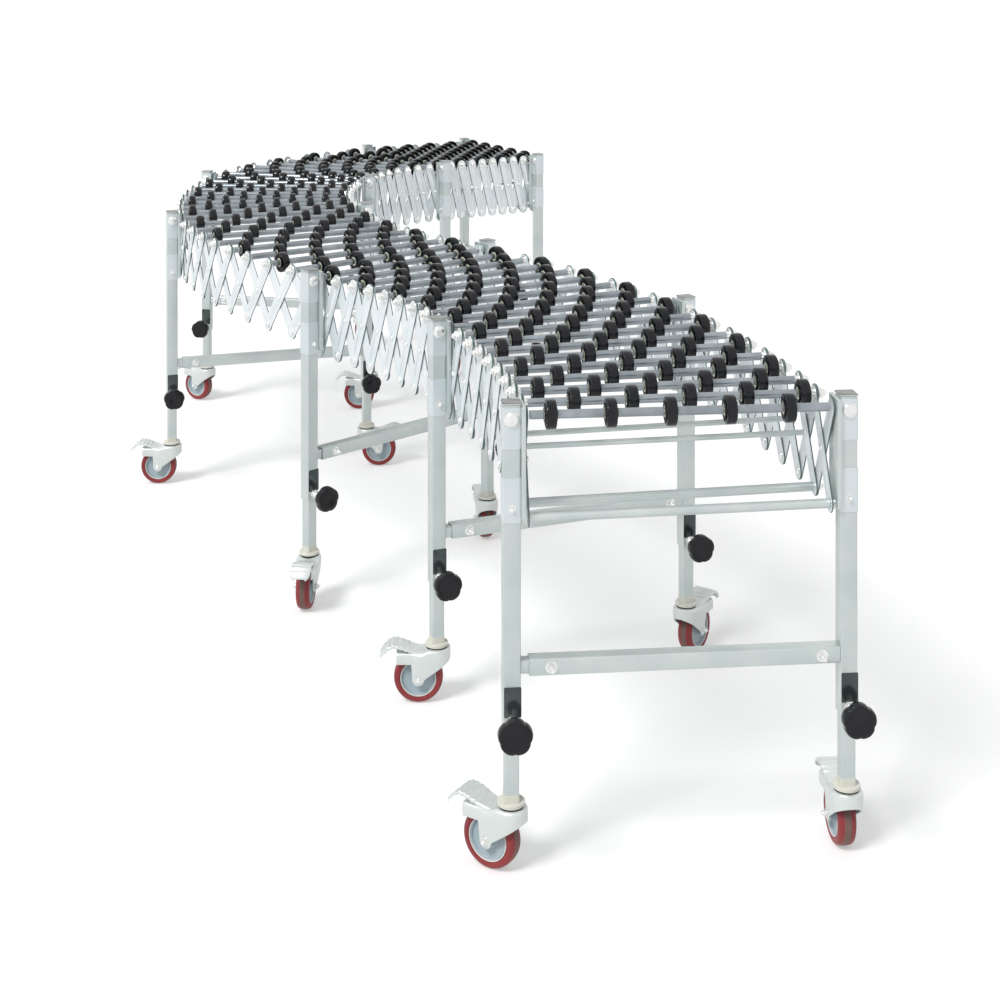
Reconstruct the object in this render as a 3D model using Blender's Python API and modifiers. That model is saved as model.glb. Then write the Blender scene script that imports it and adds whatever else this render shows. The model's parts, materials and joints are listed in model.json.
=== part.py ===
# Flexible skate wheel conveyor: seven stands on casters carry six scissor sections that
# stretch and bend. Lengths are in metres and angles in degrees. The deck runs along +Y from
# the front stand, X is across it and Z is up, with the floor at zero.

import bpy
import bmesh
from math import cos, pi, radians, sin, sqrt
from mathutils import Matrix, Vector

# Deck path: how far each section's scissors are open, as cell pitch over link length, and
# how far the section turns to the left.
SECTION_OPEN_SHARES = (0.431, 0.427, 0.521, 0.442, 0.409, 0.249)
SECTION_TURNS = (15.7, 22.1, -26.6, -26.4, -46.6, -4.0)
FRONT_HEADING = 5.3
CELLS = 9
ROOT_STAND = 3
BEND_PLACE_SHARE = 0.75

# Gap between pieces that touch or run on each other, how far joined shapes run into each
# other, how far a cut runs past its piece, and the angle under which two faces are one.
GAP = 0.0003
SEAM = 0.0005
OVERRUN = 0.010
FLAT_ANGLE = 0.1
MERGE_DISTANCE = 0.000001

# Stands. The caps stand a little over the axles.
AXLE_HEIGHT = 0.756
TRACK = 0.570
TUBE_WIDTH = 0.030
TUBE_WALL = 0.0015
CAP_RISE = 0.024
CAP_THICKNESS = 0.004
CAP_SEAT = 0.001
CAP_OVERHANG = 0.0025
CAP_TOP = AXLE_HEIGHT + CAP_RISE
CAP_WIDTH = TUBE_WIDTH + 2 * CAP_OVERHANG
TUBE_TOP = CAP_TOP - CAP_THICKNESS + CAP_SEAT
UPRIGHT_DEPTH = 0.050
UPRIGHT_THICKNESS = 0.0075
UPRIGHT_BOTTOM = 0.590
BUSH_LENGTH = 0.040
CROSSBAR_HEIGHT = 0.342
CROSSBAR_WIDTH = 0.028
CROSSBAR_STUB_WIDTH = 0.022
CROSSBAR_STUB_LENGTH = 0.014

# Height knobs. The outer legs end a little under them.
KNOB_HEIGHT = 0.256
KNOB_SEAT = 0.015
TUBE_BOTTOM = KNOB_HEIGHT - KNOB_SEAT
KNOB_RADIUS = 0.032
KNOB_WAIST_RADIUS = 0.028
KNOB_THICKNESS = 0.022
KNOB_STANDOFF = 0.042
KNOB_LOBES = 5
KNOB_SCREW_RADIUS = 0.006

# Scissor links. Every second section's links run inside those of its neighbours.
LINK_LENGTH = 0.185
LINK_WIDTH = 0.032
LINK_PAIR_THICKNESS = 0.005
LUG_SHOULDER_SHARE = 0.45
LATTICE_CLEARANCE = 0.002
LATTICE_GAP = 0.0005
LATTICE_STEP = LINK_PAIR_THICKNESS + LATTICE_GAP
UPRIGHT_FACE = TRACK / 2 - TUBE_WIDTH / 2 - UPRIGHT_THICKNESS
OUTER_LATTICE_OFFSET = UPRIGHT_FACE - LATTICE_CLEARANCE - LINK_PAIR_THICKNESS / 2

# Stand axles stop short of the links, and a thinner pin goes on through them at each end.
AXLE_SHOULDER = OUTER_LATTICE_OFFSET - LATTICE_STEP - LINK_PAIR_THICKNESS / 2 - GAP
SPACER_RADIUS = 0.0085
PIVOT_PIN_RADIUS = 0.005
BAR_SIDES = 4
FRONT_AXLE_SIDES = 6
FRONT_NECK_RADIUS = 0.005

# Skate wheels. Those of every second row stand half a spacing further across, and all of them
# stand a little to the right of the middle.
SKATE_RADIUS = 0.0245
SKATE_SIDES = 6
SKATE_WIDTH = 0.022
SKATES_PER_AXLE = 5
SKATE_END_CLEARANCE = 0.0112
SKATE_SHIFT_SHARE = 0.25
SKATE_OFFSET = 0.0085
SKATE_ROOM = AXLE_SHOULDER - SKATE_WIDTH / 2 - SKATE_END_CLEARANCE
SKATE_SPACING = SKATE_ROOM / ((SKATES_PER_AXLE - 1) / 2 + SKATE_SHIFT_SHARE)
FRONT_SKATE_SIDES = 8

# Tie rods under the deck, their places in shares of a pitch from the end of the deck
LOWER_ROD_RADIUS = 0.008
MIDDLE_ROD_RADIUS = 0.005
ROD_SIDES = 6
LOWER_ROD_PITCH_SHARES = (0, 1)
MIDDLE_ROD_PITCH_SHARES = (1.5, 2.5)

# Inner legs
LEG_CLEARANCE = 0.001
LEG_WIDTH = TUBE_WIDTH - 2 * TUBE_WALL - 2 * LEG_CLEARANCE
LEG_WALL = 0.0015
LEG_LENGTH = 0.368
LEG_FOOT_LENGTH = 0.025
COLLAR_RADIUS = 0.022
COLLAR_THICKNESS = 0.008
COLLAR_SIDES = 6

# Casters
CASTER_RADIUS = 0.050
CASTER_WIDTH = 0.032
CASTER_TRAIL = 0.037
CASTER_SIDES = 10
PIN_RADIUS = 0.004
PIN_CLEARANCE = 0.0006
CHEEK_THICKNESS = 0.003
CHEEK_GAP = 0.011
CHEEK_BOSS_RADIUS = 0.013
CROWN_THICKNESS = 0.005
CROWN_CLEARANCE = 0.005
CROWN_BACK = 0.030
CROWN_LEAD = 0.016
CROWN_FRONT = CASTER_TRAIL + CHEEK_BOSS_RADIUS + CROWN_LEAD
FORK_TOP = 2 * CASTER_RADIUS + CROWN_CLEARANCE + CROWN_THICKNESS
CASTER_HEIGHT = FORK_TOP + GAP + COLLAR_THICKNESS
NOSE_DEPTH = 0.024
NOSE_THICKNESS = 0.012
NOSE_CHAMFER = 0.012
PEDAL_HUMP = 0.0865
PEDAL_RISE = 0.010
PEDAL_REACH = 0.116
PEDAL_DROP = 0.014
PEDAL_THICKNESS = 0.006
CASTER_DIRECTIONS = (
    (148, 95), (180, 55), (-95, 100), (180, 0), (150, 180), (120, 60), (110, 75),
)

model = bpy.data.collections.new("flexible_conveyor")
cutters = bpy.data.collections.new("cutters")


def start_empty_scene():
    for thing in list(bpy.data.objects):
        bpy.data.objects.remove(thing, do_unlink=True)
    bpy.context.scene.collection.children.link(model)
    bpy.context.scene.collection.children.link(cutters)


def finish(name, colour, roughness, metallic):
    material = bpy.data.materials.new(name)
    material.use_nodes = True
    shader = material.node_tree.nodes["Principled BSDF"]
    shader.inputs["Base Color"].default_value = (*colour, 1)
    shader.inputs["Roughness"].default_value = roughness
    shader.inputs["Metallic"].default_value = metallic
    material.diffuse_color = (*colour, 1)
    return material


# Shapes, each added to a bmesh

def add_box(bm, low, high):
    low, high = Vector(low), Vector(high)
    place = Matrix.Translation((low + high) / 2) @ Matrix.Diagonal((*(high - low), 1))
    bmesh.ops.create_cube(bm, size=1, matrix=place)


# The corner radius that gives a bar with few sides the round bar's cross-section.
def bar_radius(radius, sides):
    return radius * sqrt(2 * pi / (sides * sin(2 * pi / sides)))


def add_rod(bm, start, end, radius, sides):
    start, end = Vector(start), Vector(end)
    along = end - start
    turn = along.to_track_quat("Z", "Y").to_matrix().to_4x4()
    place = Matrix.Translation((start + end) / 2) @ turn
    bmesh.ops.create_cone(
        bm, cap_ends=True, segments=sides, radius1=radius, radius2=radius,
        depth=along.length, matrix=place,
    )


def add_copy(bm, mesh, place):
    first = len(bm.verts)
    bm.from_mesh(mesh)
    bm.verts.ensure_lookup_table()
    bmesh.ops.transform(bm, matrix=place, verts=bm.verts[first:])


def mesh_from(bm, name):
    mesh = bpy.data.meshes.new(name)
    bm.to_mesh(mesh)
    bm.free()
    return mesh


def evaluated_mesh(thing):
    bpy.context.view_layer.update()
    graph = bpy.context.evaluated_depsgraph_get()
    return bpy.data.meshes.new_from_object(thing.evaluated_get(graph))


def temporary(mesh, name):
    thing = bpy.data.objects.new(name, mesh)
    cutters.objects.link(thing)
    thing.hide_render = True
    thing.display_type = "WIRE"
    return thing


# One closed mesh from a base, the meshes joined to it and those cut out of it.
def combined(name, base, joined=(), cut=()):
    body = temporary(base, name + "_base")
    tools = []
    for operation, meshes in (("UNION", joined), ("DIFFERENCE", cut)):
        for mesh in meshes:
            tool = temporary(mesh, name + "_tool")
            modifier = body.modifiers.new(operation.lower(), "BOOLEAN")
            modifier.operation = operation
            modifier.solver = "EXACT"
            modifier.object = tool
            tools.append(tool)
    result = evaluated_mesh(body)
    for thing in (body, *tools):
        bpy.data.objects.remove(thing, do_unlink=True)
    return result


# The mesh without the vertices that only divide flat faces.
def without_spare_vertices(mesh):
    bm = bmesh.new()
    bm.from_mesh(mesh)
    bmesh.ops.dissolve_limit(bm, angle_limit=radians(FLAT_ANGLE), verts=bm.verts, edges=bm.edges)
    bmesh.ops.triangulate(bm, faces=bm.faces)
    return mesh_from(bm, mesh.name)


# A turned mesh about the X axis, from (x, radius) pairs in order along it.
def turned(profile, sides):
    mesh = bpy.data.meshes.new("profile")
    points = [(x, 0, radius) for x, radius in profile]
    edges = [(n, n + 1) for n in range(len(points) - 1)]
    if profile[0] == profile[-1]:
        points.pop()
        edges[-1] = (len(points) - 1, 0)
    mesh.from_pydata(points, edges, [])
    thing = temporary(mesh, "profile")
    screw = thing.modifiers.new("turn", "SCREW")
    screw.axis = "X"
    screw.steps = sides
    screw.render_steps = sides
    screw.use_merge_vertices = True
    screw.merge_threshold = MERGE_DISTANCE
    bm = bmesh.new()
    bm.from_mesh(evaluated_mesh(thing))
    bpy.data.objects.remove(thing, do_unlink=True)
    bmesh.ops.remove_doubles(bm, verts=bm.verts, dist=MERGE_DISTANCE)
    bmesh.ops.recalc_face_normals(bm, faces=bm.faces)
    return mesh_from(bm, "turned")


# A flat plate from closed outlines in the XY plane, outer first, centred on that plane.
def plate(outlines, thickness):
    curve = bpy.data.curves.new("outline", "CURVE")
    curve.dimensions = "2D"
    curve.fill_mode = "BOTH"
    curve.extrude = thickness / 2
    for outline in outlines:
        spline = curve.splines.new("POLY")
        spline.points.add(len(outline) - 1)
        for point, (x, y) in zip(spline.points, outline):
            point.co = (x, y, 0, 1)
        spline.use_cyclic_u = True
    thing = bpy.data.objects.new("outline", curve)
    cutters.objects.link(thing)
    bm = bmesh.new()
    bm.from_mesh(evaluated_mesh(thing))
    bpy.data.objects.remove(thing, do_unlink=True)
    bmesh.ops.remove_doubles(bm, verts=bm.verts, dist=MERGE_DISTANCE)
    bmesh.ops.triangulate(bm, faces=bm.faces)
    bmesh.ops.recalc_face_normals(bm, faces=bm.faces)
    return mesh_from(bm, "plate")


# A mesh object at its place in the world, carried by an empty.
def piece(name, mesh, material, carrier, place):
    thing = bpy.data.objects.new(name, mesh)
    model.objects.link(thing)
    mesh.name = name
    mesh.materials.clear()
    mesh.materials.append(material)
    mesh.shade_smooth()
    mesh.set_sharp_from_angle(angle=radians(35))
    thing.parent = carrier
    thing.matrix_basis = carrier.matrix_world.inverted() @ place
    return thing


def carrier(name, place, parent=None):
    empty = bpy.data.objects.new(name, None)
    model.objects.link(empty)
    empty.empty_display_size = LEG_WIDTH
    empty.parent = parent
    inverse = parent.matrix_world.inverted() if parent else Matrix()
    empty.matrix_basis = inverse @ place
    bpy.context.view_layer.update()
    return empty


# Path of the deck

class Section:
    def __init__(self, start, heading, open_share, turn):
        self.start = Vector(start)
        self.heading = heading
        self.turn = turn
        self.pitch = open_share * LINK_LENGTH
        self.length = self.pitch * CELLS

    # Frame on the centreline, its X axis across the deck to the right.
    def frame(self, along, height=0):
        turned_by = self.turn * along / self.length
        half = turned_by / 2
        chord = along * (sin(half) / half if half else 1)
        way = self.heading + half
        step = Vector((-sin(way) * chord, cos(way) * chord, height))
        return Matrix.Translation(self.start + step) @ Matrix.Rotation(self.heading + turned_by, 4, "Z")

    def side_length(self, offset):
        return self.length + offset * self.turn

    def side_pitch(self, offset):
        return self.side_length(offset) / CELLS

    # How far the lower pivots hang under the axles on one side.
    def drop(self, offset):
        return sqrt(LINK_LENGTH ** 2 - self.side_pitch(offset) ** 2)


def make_sections():
    sections = []
    start, heading = Vector(), radians(FRONT_HEADING)
    for share, turn in zip(SECTION_OPEN_SHARES, SECTION_TURNS):
        section = Section(start, heading, share, radians(turn))
        sections.append(section)
        start = section.frame(section.length).translation
        heading += section.turn
    return sections


def stand_frames(sections):
    frames = [section.frame(0) for section in sections]
    frames.append(sections[-1].frame(sections[-1].length))
    return frames


def lattice_offset(number):
    return OUTER_LATTICE_OFFSET - LATTICE_STEP * (number % 2)


# Axle rows

def skate_places(row):
    shift = SKATE_SHIFT_SHARE if row % 2 else -SKATE_SHIFT_SHARE
    middle = (SKATES_PER_AXLE - 1) / 2
    return [(n - middle + shift) * SKATE_SPACING + SKATE_OFFSET for n in range(SKATES_PER_AXLE)]


def add_axle(rods, wheels, row, half_length, frame):
    ends = [frame @ Vector((side * half_length, 0, 0)) for side in (-1, 1)]
    add_rod(rods, *ends, bar_radius(SPACER_RADIUS, BAR_SIDES), BAR_SIDES)
    for place in skate_places(row):
        faces = [frame @ Vector((place + side * SKATE_WIDTH / 2, 0, 0)) for side in (-1, 1)]
        add_rod(wheels, *faces, SKATE_RADIUS, SKATE_SIDES)


# Half the side of a square pin with the round one's cross-section.
def half_pin():
    return sqrt(pi) * PIVOT_PIN_RADIUS / 2


def add_pivot_pins(bm, end):
    half = half_pin()
    for side in (-1, 1):
        near, far = sorted((side * (AXLE_SHOULDER - SEAM), side * end))
        add_box(bm, (near, -half, AXLE_HEIGHT - half), (far, half, AXLE_HEIGHT + half))


# The front axle's skate wheels are pieces of their own, so it has a neck for each of them.
def front_axle():
    end = AXLE_SHOULDER
    profile = [(-end, 0), (-end, SPACER_RADIUS)]
    for place in skate_places(0):
        near = place - SKATE_WIDTH / 2 - GAP
        far = place + SKATE_WIDTH / 2 + GAP
        profile += [(near, SPACER_RADIUS), (near, FRONT_NECK_RADIUS)]
        profile += [(far, FRONT_NECK_RADIUS), (far, SPACER_RADIUS)]
    profile += [(end, SPACER_RADIUS), (end, 0)]
    return turned(profile, FRONT_AXLE_SIDES)


def front_skate():
    bore = (FRONT_NECK_RADIUS + GAP) / cos(pi / FRONT_SKATE_SIDES)
    half = SKATE_WIDTH / 2
    return turned(
        [(-half, bore), (-half, SKATE_RADIUS), (half, SKATE_RADIUS), (half, bore), (-half, bore)],
        FRONT_SKATE_SIDES,
    )


# Outline of one side's crossed links in (distance along, height over the axles), with the
# diamonds between them and the holes that the stands' axles pass through.
def lattice_outlines(pitch, drop):
    half = LINK_WIDTH / 2
    notch = half * LINK_LENGTH / pitch
    waist = half * LINK_LENGTH / drop
    flat = half * (LINK_LENGTH - pitch) / drop
    shoulder = half * LUG_SHOULDER_SHARE
    heel = (half * drop / LINK_LENGTH, -half * pitch / LINK_LENGTH)
    end = CELLS * pitch

    top = [(-heel[0], heel[1]), (-shoulder, half), (flat, half)]
    for cell in range(CELLS):
        top.append(((cell + 0.5) * pitch, notch - drop / 2))
        if cell < CELLS - 1:
            top += [((cell + 1) * pitch - flat, half), ((cell + 1) * pitch + flat, half)]
    top += [(end - flat, half), (end + shoulder, half), (end + heel[0], heel[1])]
    bottom = [(along, -drop - height) for along, height in reversed(top)]
    outer = [
        *top, (end - pitch / 2 + waist, -drop / 2),
        *bottom, (pitch / 2 - waist, -drop / 2),
    ]

    diamonds = []
    for joint in range(1, CELLS):
        middle = joint * pitch
        diamonds.append([
            (middle, -notch), (middle + pitch / 2 - waist, -drop / 2),
            (middle, notch - drop), (middle - pitch / 2 + waist, -drop / 2),
        ])

    reach = half_pin() + GAP
    corners = [(-reach, -reach), (reach, -reach), (reach, reach), (-reach, reach)]
    bores = [[(place + x, y) for x, y in corners] for place in (0, end)]
    return [outer, *diamonds, *bores]


# One side's lattice, laid along the section's curve.
def add_lattice(bm, section, offset):
    flat = plate(lattice_outlines(section.side_pitch(offset), section.drop(offset)), LINK_PAIR_THICKNESS)
    first = len(bm.verts)
    bm.from_mesh(flat)
    bm.verts.ensure_lookup_table()
    share = section.length / section.side_length(offset)
    for vertex in bm.verts[first:]:
        along, height, aside = vertex.co
        vertex.co = section.frame(along * share) @ Vector((offset + aside, 0, AXLE_HEIGHT + height))


# Where a tie rod meets the two lattices: a count of pitches along, and a share of the drop.
def rod_ends(section, offset, pitches, drop_share):
    frame = section.frame(pitches * section.pitch)
    return [
        frame @ Vector((side, 0, AXLE_HEIGHT - drop_share * section.drop(side)))
        for side in (-offset, offset)
    ]


# Pitches from the section's start where tie rods lie: they are at both ends of the deck.
def tie_rods(number, places):
    if number == 0:
        return places
    if number == len(SECTION_TURNS) - 1:
        return [CELLS - place for place in places]
    return []


def section_mesh(section, number):
    offset = lattice_offset(number)
    lattices, rods, wheels = bmesh.new(), bmesh.new(), bmesh.new()
    for side in (-offset, offset):
        add_lattice(lattices, section, side)
    for joint in range(1, CELLS):
        frame = section.frame(joint * section.pitch, AXLE_HEIGHT)
        add_axle(rods, wheels, number * CELLS + joint, offset, frame)
    for pitches in tie_rods(number, LOWER_ROD_PITCH_SHARES):
        add_rod(rods, *rod_ends(section, offset, pitches, 1), LOWER_ROD_RADIUS, ROD_SIDES)
    for pitches in tie_rods(number, MIDDLE_ROD_PITCH_SHARES):
        add_rod(rods, *rod_ends(section, offset, pitches, 0.5), MIDDLE_ROD_RADIUS, ROD_SIDES)
    joined = [mesh_from(bm, "part") for bm in (rods, wheels)]
    return combined("section", mesh_from(lattices, "lattices"), joined)


# Stands, in a frame with X across the deck and the floor at zero

def stand_mesh(number):
    tubes = bmesh.new()
    caps = bmesh.new()
    bars = bmesh.new()
    knobs = bmesh.new()
    screws = bmesh.new()
    tube_bores = bmesh.new()
    bush_bores = bmesh.new()
    half_tube = TUBE_WIDTH / 2
    inner_face = TRACK / 2 - half_tube
    upright_far = inner_face + SEAM

    for side in (-1, 1):
        centre = side * TRACK / 2
        add_square(tubes, centre, TUBE_WIDTH, TUBE_BOTTOM, TUBE_TOP)
        add_square(caps, centre, CAP_WIDTH, CAP_TOP - CAP_THICKNESS, CAP_TOP)
        near, far = sorted((side * UPRIGHT_FACE, side * upright_far))
        add_box(
            bars, (near, -UPRIGHT_DEPTH / 2, UPRIGHT_BOTTOM),
            (far, UPRIGHT_DEPTH / 2, CAP_TOP - CAP_THICKNESS - SEAM),
        )
        bush_top = TUBE_BOTTOM + BUSH_LENGTH
        add_square(tube_bores, centre, TUBE_WIDTH - 2 * TUBE_WALL, bush_top, TUBE_TOP - TUBE_WALL)
        add_square(bush_bores, centre, LEG_WIDTH + 2 * GAP, TUBE_BOTTOM - OVERRUN, bush_top + SEAM)
        add_knob(knobs, screws, centre, half_tube)

    stub_end = CROSSBAR_STUB_LENGTH - inner_face
    half_bar, half_stub = CROSSBAR_WIDTH / 2, CROSSBAR_STUB_WIDTH / 2
    add_box(
        bars, (stub_end, -half_bar, CROSSBAR_HEIGHT - half_bar),
        (inner_face + SEAM, half_bar, CROSSBAR_HEIGHT + half_bar),
    )
    stubs = bmesh.new()
    add_box(
        stubs, (-inner_face - SEAM, -half_stub, CROSSBAR_HEIGHT - half_stub),
        (stub_end + SEAM, half_stub, CROSSBAR_HEIGHT + half_stub),
    )

    axle, wheels, pins = bmesh.new(), bmesh.new(), bmesh.new()
    place = Matrix.Translation((0, 0, AXLE_HEIGHT))
    add_pivot_pins(pins, UPRIGHT_FACE + SEAM)
    parts = [caps, bars, stubs, screws, knobs, axle, pins]
    if number == 0:
        add_copy(axle, front_axle(), place)
    else:
        add_axle(axle, wheels, number * CELLS, AXLE_SHOULDER, place)
        parts.append(wheels)

    joined = [mesh_from(bm, "part") for bm in parts]
    bores = combined("bore", mesh_from(tube_bores, "bores"), [mesh_from(bush_bores, "bores")])
    return combined("stand", mesh_from(tubes, "tubes"), joined, [bores])


def add_square(bm, centre, width, bottom, top):
    half = width / 2
    add_box(bm, (centre - half, -half, bottom), (centre + half, half, top))


def add_knob(bm, screws, centre, half_tube):
    back = -half_tube - KNOB_STANDOFF
    front = back - KNOB_THICKNESS
    add_rod(
        screws, (centre, SEAM - half_tube, KNOB_HEIGHT), (centre, back - SEAM, KNOB_HEIGHT),
        KNOB_SCREW_RADIUS, ROD_SIDES,
    )
    first = len(bm.verts)
    add_rod(bm, (centre, back, KNOB_HEIGHT), (centre, front, KNOB_HEIGHT), KNOB_RADIUS, 2 * KNOB_LOBES)
    bm.verts.ensure_lookup_table()
    middle = Vector((centre, 0, KNOB_HEIGHT))
    for vertex in bm.verts[first:]:
        around = vertex.co - middle
        around.y = 0
        corner = round(around.angle(Vector((1, 0, 0))) / (pi / KNOB_LOBES))
        if corner % 2:
            vertex.co -= around * (1 - KNOB_WAIST_RADIUS / KNOB_RADIUS)


def leg_mesh():
    tube, collar, bore = bmesh.new(), bmesh.new(), bmesh.new()
    top = CASTER_HEIGHT + LEG_LENGTH
    add_square(tube, 0, LEG_WIDTH, CASTER_HEIGHT - SEAM, top)
    add_rod(
        collar, (0, 0, CASTER_HEIGHT - COLLAR_THICKNESS), (0, 0, CASTER_HEIGHT),
        COLLAR_RADIUS, COLLAR_SIDES,
    )
    add_square(bore, 0, LEG_WIDTH - 2 * LEG_WALL, CASTER_HEIGHT + LEG_FOOT_LENGTH, top + OVERRUN)
    return combined("leg", mesh_from(tube, "leg"), [mesh_from(collar, "collar")], [mesh_from(bore, "bore")])


# Casters, with the swivel axis at the origin and the wheel trailing along +X

# The fork is a hood as seen from its side, with a slot for the wheel and a pin across it.
def fork_mesh():
    inner = CASTER_WIDTH / 2 + CHEEK_GAP
    outer = inner + CHEEK_THICKNESS
    top = FORK_TOP
    slot_top = top - CROWN_THICKNESS
    boss = [
        (CASTER_TRAIL + CHEEK_BOSS_RADIUS * cos(angle), CASTER_RADIUS + CHEEK_BOSS_RADIUS * sin(angle))
        for angle in map(radians, (-150, -90, -20))
    ]
    outline = [
        (-CROWN_BACK, top), (-CROWN_BACK, top - NOSE_DEPTH), *boss,
        (CROWN_FRONT, slot_top - PEDAL_THICKNESS), (PEDAL_HUMP, top + PEDAL_RISE - PEDAL_THICKNESS),
        (PEDAL_REACH, top - PEDAL_DROP - PEDAL_THICKNESS), (PEDAL_REACH, top - PEDAL_DROP),
        (PEDAL_HUMP, top + PEDAL_RISE), (CROWN_FRONT, top),
    ]
    stand_up = Matrix.Rotation(pi / 2, 4, "X")
    hood = plate([outline], 2 * outer)
    hood.transform(stand_up)
    slot, pin = bmesh.new(), bmesh.new()
    add_box(slot, (NOSE_THICKNESS - CROWN_BACK, -inner, -OVERRUN), (CROWN_FRONT + SEAM, inner, slot_top))
    near, far = NOSE_CHAMFER + OVERRUN, outer + OVERRUN
    corners = [
        plate([[
            (-CROWN_BACK - OVERRUN, side * (outer - near)), (near - CROWN_BACK, side * far),
            (-CROWN_BACK - OVERRUN, side * far),
        ]], 2 * (top + OVERRUN))
        for side in (-1, 1)
    ]
    across = (inner + outer) / 2
    add_rod(
        pin, (CASTER_TRAIL, -across, CASTER_RADIUS), (CASTER_TRAIL, across, CASTER_RADIUS),
        PIN_RADIUS, ROD_SIDES,
    )
    slotted = combined("fork", hood, cut=[mesh_from(slot, "slot"), *corners])
    return without_spare_vertices(combined("fork", slotted, [mesh_from(pin, "pin")]))


# The wheel stands on one of its flats, so its corners lie a little outside the true radius.
def caster_wheel_mesh():
    half = CASTER_WIDTH / 2
    corner = CASTER_RADIUS / cos(pi / CASTER_SIDES)
    bore = PIN_RADIUS + PIN_CLEARANCE
    profile = [(-half, bore), (-half, corner), (half, corner), (half, bore), (-half, bore)]
    mesh = turned(profile, CASTER_SIDES)
    mesh.transform(Matrix.Rotation(pi / CASTER_SIDES, 4, "X"))
    mesh.transform(Matrix.Rotation(pi / 2, 4, "Z"))
    return mesh


# Assembly

# The vertical line that a section bends on, past the middle of it as seen from the root stand.
def bend_place(sections, stand):
    section = sections[stand - 1] if stand > ROOT_STAND else sections[stand]
    share = BEND_PLACE_SHARE if stand > ROOT_STAND else 1 - BEND_PLACE_SHARE
    return section.frame(section.length * share)


def add_stand(number, frame, parent, meshes, finishes):
    name = f"stand_{number + 1}"
    piece(f"{name}_frame", stand_mesh(number), finishes["zinc"], parent, frame)
    for side, label, direction in zip((-1, 1), ("left", "right"), CASTER_DIRECTIONS[number]):
        leg_place = frame @ Matrix.Translation((side * TRACK / 2, 0, 0))
        leg = carrier(f"{name}_{label}_leg_axis", leg_place, parent)
        piece(f"{name}_{label}_inner_leg", meshes["leg"].copy(), finishes["zinc"], leg, leg_place)
        turn = Matrix.Rotation(radians(direction), 4, "Z")
        swivel_place = Matrix.Translation(leg_place.translation) @ turn
        swivel = carrier(f"{name}_{label}_swivel_axis", swivel_place, leg)
        piece(f"{name}_{label}_caster_fork", meshes["fork"].copy(), finishes["zinc"], swivel, swivel_place)
        wheel_place = swivel_place @ Matrix.Translation((CASTER_TRAIL, 0, CASTER_RADIUS))
        piece(f"{name}_{label}_caster_wheel", meshes["wheel"].copy(), finishes["red"], swivel, wheel_place)


def build():
    start_empty_scene()
    finishes = {
        "zinc": finish("zinc_plated_steel", (0.75, 0.79, 0.79), 0.35, 0.9),
        "black": finish("black_wheel_plastic", (0.015, 0.015, 0.018), 0.3, 0.0),
        "red": finish("red_tread", (0.28, 0.03, 0.03), 0.5, 0.0),
    }
    sections = make_sections()
    frames = stand_frames(sections)

    meshes = {"leg": leg_mesh(), "fork": fork_mesh(), "wheel": caster_wheel_mesh()}

    root = carrier("conveyor", Matrix())
    for number, frame in enumerate(frames):
        axis = frame if number == ROOT_STAND else bend_place(sections, number)
        parent = carrier(f"stand_{number + 1}_bend_axis", axis, root)
        add_stand(number, frame, parent, meshes, finishes)
        if number == 0:
            skate = front_skate()
            for n, place in enumerate(skate_places(0)):
                piece(
                    f"front_skate_wheel_{n + 1}", skate.copy(), finishes["black"], parent,
                    frame @ Matrix.Translation((place, 0, AXLE_HEIGHT)),
                )
    for number, section in enumerate(sections):
        mesh = section_mesh(section, number)
        start = section.frame(0)
        mesh.transform(start.inverted())
        piece(f"section_{number + 1}", mesh, finishes["zinc"], root, start)
    centre_on_origin(root)


# The origin is the middle of the whole part's bounding box, on the floor.
def centre_on_origin(root):
    bpy.context.view_layer.update()
    pieces = [thing for thing in model.objects if thing.type == "MESH"]
    corners = [thing.matrix_world @ vertex.co for thing in pieces for vertex in thing.data.vertices]
    low = [min(corner[n] for corner in corners) for n in range(2)]
    high = [max(corner[n] for corner in corners) for n in range(2)]
    root.location = (-(low[0] + high[0]) / 2, -(low[1] + high[1]) / 2, 0)
    bpy.context.view_layer.update()


build()
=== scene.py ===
import json
from math import asin, atan2, cos, pi, radians, sin, sqrt

import bmesh
import bpy
from mathutils import Matrix, Vector


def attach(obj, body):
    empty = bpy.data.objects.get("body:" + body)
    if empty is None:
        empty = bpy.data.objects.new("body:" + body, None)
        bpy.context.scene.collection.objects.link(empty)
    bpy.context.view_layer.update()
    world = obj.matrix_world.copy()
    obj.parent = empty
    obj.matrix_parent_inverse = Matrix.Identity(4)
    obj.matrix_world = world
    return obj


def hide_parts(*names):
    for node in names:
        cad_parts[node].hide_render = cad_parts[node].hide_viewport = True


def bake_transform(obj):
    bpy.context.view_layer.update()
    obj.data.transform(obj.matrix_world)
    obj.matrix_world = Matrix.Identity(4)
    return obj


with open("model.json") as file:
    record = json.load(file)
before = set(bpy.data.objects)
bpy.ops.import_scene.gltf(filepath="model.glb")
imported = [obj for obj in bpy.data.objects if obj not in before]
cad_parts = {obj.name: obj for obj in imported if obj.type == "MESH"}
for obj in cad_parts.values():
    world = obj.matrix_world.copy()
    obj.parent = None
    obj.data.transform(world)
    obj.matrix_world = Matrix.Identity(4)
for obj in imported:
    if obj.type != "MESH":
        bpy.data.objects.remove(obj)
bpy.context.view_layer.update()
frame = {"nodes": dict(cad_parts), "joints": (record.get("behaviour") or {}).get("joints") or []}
joints = {joint["name"]: joint for joint in frame["joints"]}
sides = {"Left": -1, "Right": 1}
print("frame loaded:", len(frame["nodes"]), "nodes")


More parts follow.
